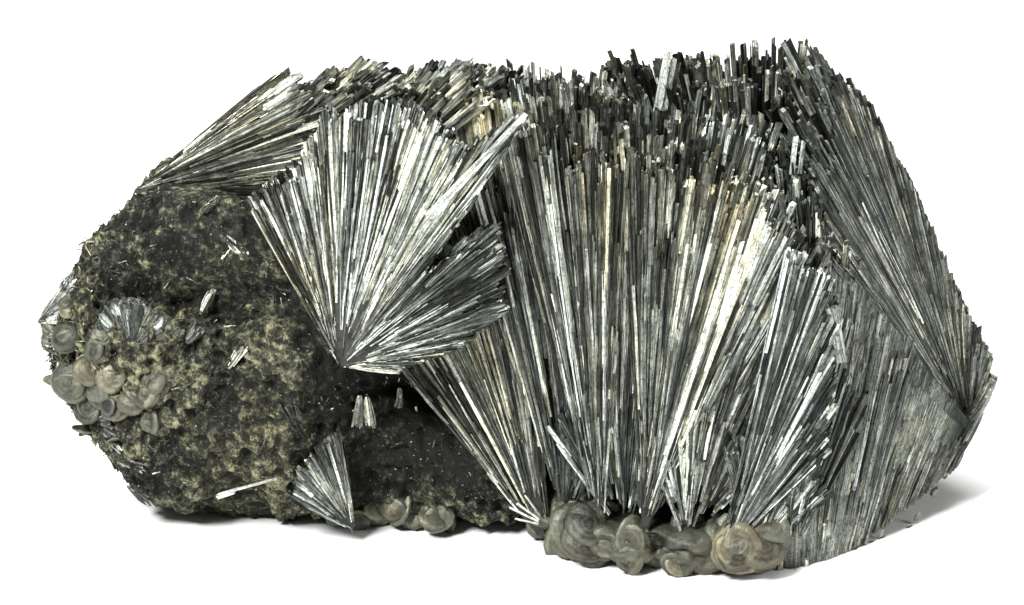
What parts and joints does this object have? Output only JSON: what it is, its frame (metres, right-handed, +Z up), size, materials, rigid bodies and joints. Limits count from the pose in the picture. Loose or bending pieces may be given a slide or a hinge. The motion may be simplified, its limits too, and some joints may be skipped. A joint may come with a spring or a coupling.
{
  "type": "pyrolusite mineral specimen",
  "caption": "Mineral hand specimen: radiating sprays and fans of grey metallic pyrolusite blades on knobby crust and dark granular rock.",
  "frame": {"origin": "middle of the base, on the plane that the specimen rests on", "axes": "+Z up, +X to the right and +Y away for someone who faces the show side, where the fibres are laid bare"},
  "size_m": [0.1003, 0.0368, 0.0505],
  "materials": {
    "pyrolusite_blades": "striated metallic blades, steel grey with brassy, brown and bluish tarnish",
    "dark_rock": "matte granular brown-black rock with fine glints",
    "botryoidal_crust": "dull brownish grey shells with fine dark specks"
  },
  "bodies": {
    "root": {"crystal_mass": "pyrolusite_blades", "front_fan": "pyrolusite_blades", "upper_left_fan": "pyrolusite_blades", "left_tip_spray": "pyrolusite_blades", "left_knob_fan": "pyrolusite_blades", "lower_left_spray": "pyrolusite_blades", "dark_rock": "dark_rock"}
  },
  "joints": []
}
